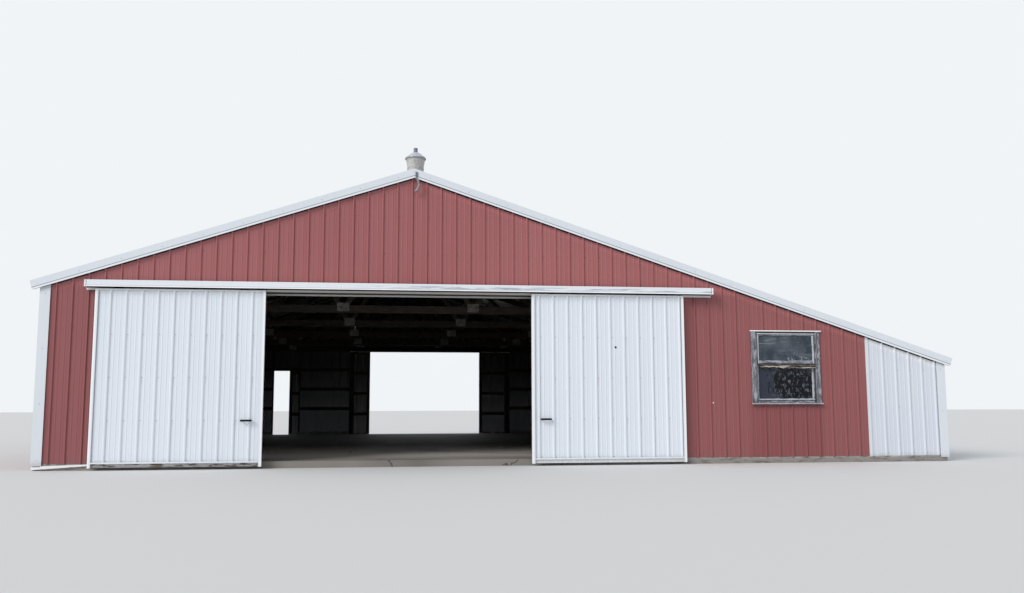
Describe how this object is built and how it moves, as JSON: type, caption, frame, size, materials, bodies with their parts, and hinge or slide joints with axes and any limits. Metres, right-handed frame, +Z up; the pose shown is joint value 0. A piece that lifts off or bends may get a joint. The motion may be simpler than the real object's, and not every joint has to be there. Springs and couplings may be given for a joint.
{
  "type": "pole barn",
  "caption": "Low gabled pole barn with ribbed steel siding, sliding doors front and rear, a window, a ridge ventilator and a lean-to.",
  "frame": {"origin": "on the ground under the ridge, halfway along the barn", "axes": "+X right across the front gable, +Y from the front to the rear, +Z up; the front faces -Y"},
  "size_m": [14.6178, 15.644, 5.1094],
  "materials": {
    "concrete": "old dusty concrete, wood-floated",
    "grade_timber": "weathered white paint on rough boards",
    "timber": "aged sawn softwood",
    "red_sheet": "sun-faded barn red on ribbed steel",
    "white_sheet": "white paint on ribbed steel",
    "door_sheet": "white paint on ribbed steel",
    "white_trim": "white paint on folded steel",
    "roof_sheet": "pale grey paint on ribbed steel",
    "galvanised": "weathered zinc",
    "dark_steel": "dark paint, worn",
    "window_timber": "bare grey weathered timber",
    "window_glass": "old dusty glass"
  },
  "bodies": {
    "barn": {"floor_slab": "concrete", "grade_boards": "grade_timber", "wall_posts": "timber", "inner_posts": "timber", "end_girts": "timber", "side_girts": "timber", "bottom_chords": "timber", "top_chords": "timber", "truss_webs": "timber", "gusset_plates": "galvanised", "lean_rafters": "timber", "purlins": "timber", "front_siding_left": "red_sheet", "front_siding_gable": "red_sheet", "front_siding_right": "red_sheet", "lean_siding": "white_sheet", "rear_siding_left": "red_sheet", "rear_siding_gable": "red_sheet", "rear_siding_right": "red_sheet", "left_siding": "red_sheet", "corner_trims": "white_trim", "rake_boards": "timber", "rake_trims": "white_trim", "eave_trims": "white_trim", "roof_left": "roof_sheet", "roof_right": "roof_sheet", "ridge_cap": "roof_sheet", "front_track": "galvanised", "rear_track": "galvanised", "front_track_cover": "white_trim", "rear_track_cover": "white_trim", "ventilator_base": "galvanised", "ventilator_body": "galvanised", "ventilator_cap": "galvanised", "peak_hook": "galvanised", "window_frame": "window_timber", "window_sashes": "window_timber", "window_glass": "window_glass"},
    "front_left_door": {"front_left_door_frame": "timber", "front_left_door_sheet": "door_sheet", "front_left_door_hangers": "dark_steel"},
    "front_right_door": {"front_right_door_frame": "timber", "front_right_door_sheet": "door_sheet", "front_right_door_hangers": "dark_steel"},
    "rear_left_door": {"rear_left_door_frame": "timber", "rear_left_door_sheet": "door_sheet", "rear_left_door_hangers": "dark_steel"},
    "rear_right_door": {"rear_right_door_frame": "timber", "rear_right_door_sheet": "door_sheet", "rear_right_door_hangers": "dark_steel"}
  },
  "joints": [
    {"name": "front_left_door_slide", "type": "slide", "parent": "barn", "child": "front_left_door", "axis": [1, 0, 0], "range_m": [-0.1, 2.228]},
    {"name": "front_right_door_slide", "type": "slide", "parent": "barn", "child": "front_right_door", "axis": [1, 0, 0], "range_m": [-1.852, 0.45]},
    {"name": "rear_left_door_slide", "type": "slide", "parent": "barn", "child": "rear_left_door", "axis": [1, 0, 0], "range_m": [-0.43, 1.873]},
    {"name": "rear_right_door_slide", "type": "slide", "parent": "barn", "child": "rear_right_door", "axis": [1, 0, 0], "range_m": [-1.561, 0.03]}
  ]
}
